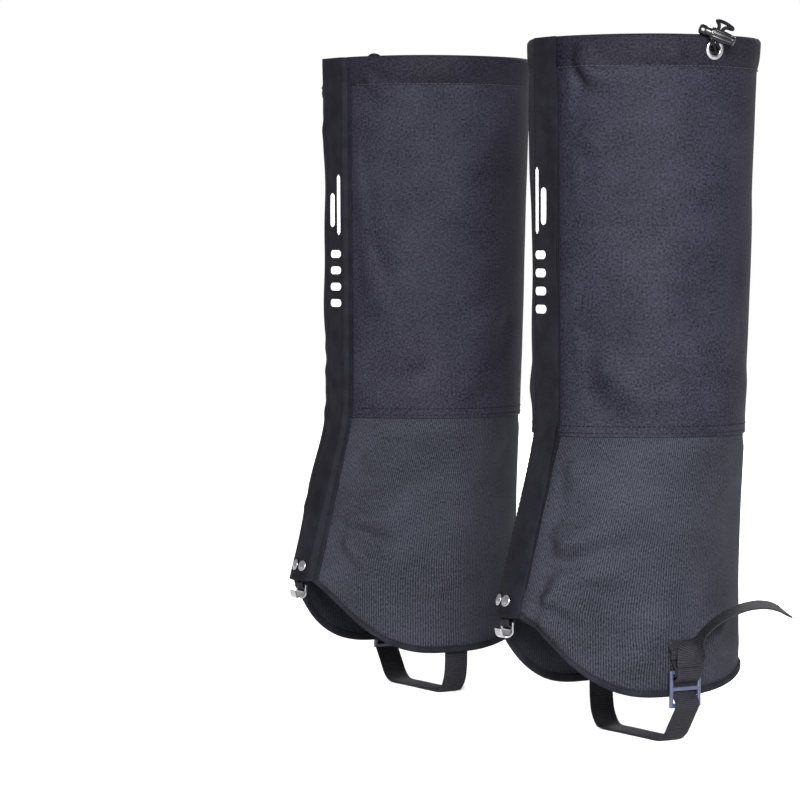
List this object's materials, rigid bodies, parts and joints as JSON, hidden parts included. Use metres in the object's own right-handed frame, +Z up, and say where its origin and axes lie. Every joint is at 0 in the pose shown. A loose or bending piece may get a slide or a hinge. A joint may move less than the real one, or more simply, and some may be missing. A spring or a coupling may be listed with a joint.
{
  "type": "gaiters",
  "caption": "Pair of calf-height hiking gaiters with a front closure flap, drawcord rim with cord lock, lace hooks and buckled instep straps.",
  "frame": {"origin": "midway between the two legs, level with the upper faces of the instep straps, on which the boots' soles rest", "axes": "the wearer faces -Y, the wearer's left is +X, +Z is up along the leg"},
  "size_m": [0.4856, 0.2033, 0.4985],
  "materials": {
    "panel_cloth": "matt coated woven polyester",
    "guard_cloth": "coarse ribbed nylon",
    "black_cloth": "matt black woven nylon",
    "tape_pile": "hook-and-loop pile",
    "webbing": "ribbed black webbing",
    "cord": "braided black cord",
    "black_plastic": "glossy moulded plastic",
    "grey_plastic": "satin moulded plastic",
    "bright_metal": "polished nickel plate"
  },
  "bodies": {
    "left_gaiter": {"left_upper_panel": "panel_cloth", "left_lower_panel": "guard_cloth", "left_top_casing": "panel_cloth", "left_bottom_binding": "black_cloth", "left_loop_tape": "tape_pile", "left_flap_seam": "black_cloth", "left_snap_stud_inner": "bright_metal", "left_snap_stud_outer": "bright_metal", "left_eyelet": "bright_metal", "left_eyelet_washer": "bright_metal", "left_drawcord_front": "cord", "left_drawcord_rear": "cord", "left_drawcord_loop": "cord", "left_strap_patch": "webbing", "left_tab_patch": "webbing", "left_lace_hook_tab": "webbing"},
    "left_flap": {"left_front_flap": "black_cloth", "left_hook_tape": "tape_pile", "left_snap_cap_inner": "bright_metal", "left_snap_cap_outer": "bright_metal"},
    "left_cord_lock": {"left_cord_lock_body": "black_plastic", "left_cord_lock_spring": "bright_metal"},
    "left_cord_button": {"left_cord_lock_button": "black_plastic"},
    "left_stirrup": {"left_instep_strap": "webbing", "left_buckle_tab": "webbing", "left_buckle": "grey_plastic"},
    "left_strap_tail": {"left_strap_tail": "webbing"},
    "left_lace_hook": {"left_lace_hook": "bright_metal"},
    "right_gaiter": {"right_upper_panel": "panel_cloth", "right_lower_panel": "guard_cloth", "right_top_casing": "panel_cloth", "right_bottom_binding": "black_cloth", "right_loop_tape": "tape_pile", "right_flap_seam": "black_cloth", "right_snap_stud_inner": "bright_metal", "right_snap_stud_outer": "bright_metal", "right_eyelet": "bright_metal", "right_eyelet_washer": "bright_metal", "right_drawcord_front": "cord", "right_drawcord_rear": "cord", "right_drawcord_loop": "cord", "right_strap_patch": "webbing", "right_tab_patch": "webbing", "right_lace_hook_tab": "webbing"},
    "right_flap": {"right_front_flap": "black_cloth", "right_hook_tape": "tape_pile", "right_snap_cap_inner": "bright_metal", "right_snap_cap_outer": "bright_metal"},
    "right_cord_lock": {"right_cord_lock_body": "black_plastic", "right_cord_lock_spring": "bright_metal"},
    "right_cord_button": {"right_cord_lock_button": "black_plastic"},
    "right_stirrup": {"right_instep_strap": "webbing", "right_buckle_tab": "webbing", "right_buckle": "grey_plastic"},
    "right_strap_tail": {"right_strap_tail": "webbing"},
    "right_lace_hook": {"right_lace_hook": "bright_metal"}
  },
  "joints": [
    {"name": "left_flap_hinge", "type": "hinge", "parent": "left_gaiter", "child": "left_flap", "pos_m": [0.1325, -0.10081, 0.2875], "axis": [0, -0.0797, -0.9968], "range_deg": [0, 130]},
    {"name": "left_stirrup_swing", "type": "hinge", "parent": "left_gaiter", "child": "left_stirrup", "pos_m": [0.145, -0.003, 0.058], "axis": [1, 0, 0], "range_deg": [-12, 12]},
    {"name": "left_strap_tail_flex", "type": "hinge", "parent": "left_stirrup", "child": "left_strap_tail", "pos_m": [0.2057, -0.003, 0.0525], "axis": [0, 1, 0], "range_deg": [0, 40], "stiffness_Nm_per_rad": 0.02},
    {"name": "left_lace_hook_swing", "type": "hinge", "parent": "left_gaiter", "child": "left_lace_hook", "pos_m": [0.145, -0.1136, 0.084], "axis": [1, 0, 0], "range_deg": [-12, 50]},
    {"name": "left_cord_lock_slide", "type": "slide", "parent": "left_gaiter", "child": "left_cord_lock", "axis": [0.2048, 0.3195, 0.9252], "range_m": [-0.0008, 0.0004]},
    {"name": "left_cord_lock_press", "type": "slide", "parent": "left_cord_lock", "child": "left_cord_button", "axis": [0.4993, 0.7789, -0.3795], "range_m": [0, 0.003], "stiffness_N_per_m": 400, "deforming": ["left_cord_lock_spring"]},
    {"name": "right_flap_hinge", "type": "hinge", "parent": "right_gaiter", "child": "right_flap", "pos_m": [-0.1325, -0.10081, 0.2875], "axis": [0, 0.0797, 0.9968], "range_deg": [0, 130]},
    {"name": "right_stirrup_swing", "type": "hinge", "parent": "right_gaiter", "child": "right_stirrup", "pos_m": [-0.145, -0.003, 0.058], "axis": [1, 0, 0], "range_deg": [-12, 12]},
    {"name": "right_strap_tail_flex", "type": "hinge", "parent": "right_stirrup", "child": "right_strap_tail", "pos_m": [-0.2057, -0.003, 0.0525], "axis": [0, -1, 0], "range_deg": [0, 40], "stiffness_Nm_per_rad": 0.02},
    {"name": "right_lace_hook_swing", "type": "hinge", "parent": "right_gaiter", "child": "right_lace_hook", "pos_m": [-0.145, -0.1136, 0.084], "axis": [1, 0, 0], "range_deg": [-12, 50]},
    {"name": "right_cord_lock_slide", "type": "slide", "parent": "right_gaiter", "child": "right_cord_lock", "axis": [-0.2048, 0.3195, 0.9252], "range_m": [-0.0008, 0.0004]},
    {"name": "right_cord_lock_press", "type": "slide", "parent": "right_cord_lock", "child": "right_cord_button", "axis": [-0.4993, 0.7789, -0.3795], "range_m": [0, 0.003], "stiffness_N_per_m": 400, "deforming": ["right_cord_lock_spring"]},
    {"name": "right_gaiter_apart", "type": "slide", "parent": "left_gaiter", "child": "right_gaiter", "axis": [-1, 0, 0], "range_m": [0, 0.15]}
  ]
}
